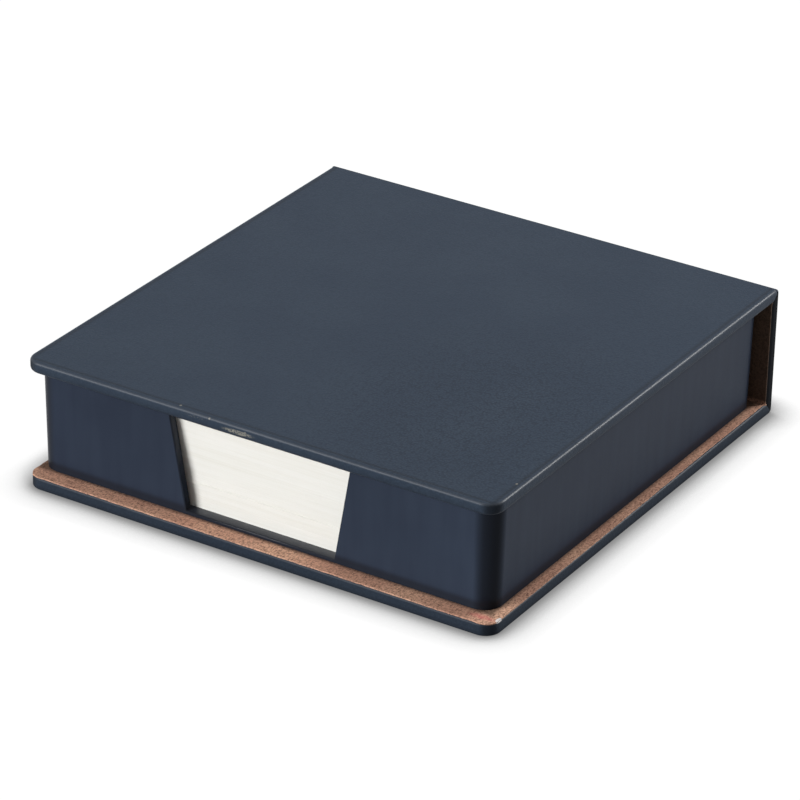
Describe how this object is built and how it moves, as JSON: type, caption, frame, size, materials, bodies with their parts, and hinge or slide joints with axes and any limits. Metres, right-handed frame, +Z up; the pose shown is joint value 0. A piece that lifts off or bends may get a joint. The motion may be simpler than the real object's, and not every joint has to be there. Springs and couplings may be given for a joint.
{
  "type": "memo box",
  "caption": "Book-style box for loose memo sheets: hinged lid and spine in leatherette over board, tan lining, moulded tray with a finger notch in front.",
  "frame": {"origin": "middle of the underside of the closed box", "axes": "+Z up; -Y towards the front wall with the finger notch; +Y towards the spine; +X to the right seen from the front, along both folds"},
  "size_m": [0.1098, 0.1142, 0.0288],
  "materials": {
    "navy_leatherette": "satin",
    "tan_lining": "matte",
    "greyboard": "matte",
    "tray_moulding": "gloss",
    "memo_paper": "matte"
  },
  "bodies": {
    "base": {"base_board": "greyboard", "base_lining": "tan_lining", "base_cover": "navy_leatherette", "lower_fold_cover": "navy_leatherette", "tray": "tray_moulding", "memo_sheets_lower": "memo_paper", "memo_sheets_forward": "memo_paper", "memo_sheets_middle": "memo_paper", "memo_sheets_upper": "memo_paper", "memo_sheet_top": "memo_paper"},
    "spine": {"spine_board": "greyboard", "spine_lining": "tan_lining", "spine_cover": "navy_leatherette", "upper_fold_cover": "navy_leatherette"},
    "lid": {"lid_board": "greyboard", "lid_lining": "tan_lining", "lid_cover": "navy_leatherette"}
  },
  "joints": [
    {"name": "lower_fold", "type": "hinge", "parent": "base", "child": "spine", "pos_m": [0, 0.05665, 0.0004], "axis": [-1, 0, 0], "range_deg": [0, 90], "deforming": ["lower_fold_cover"]},
    {"name": "upper_fold", "type": "hinge", "parent": "spine", "child": "lid", "pos_m": [0, 0.05665, 0.0284], "axis": [-1, 0, 0], "range_deg": [0, 90], "deforming": ["upper_fold_cover"]}
  ]
}
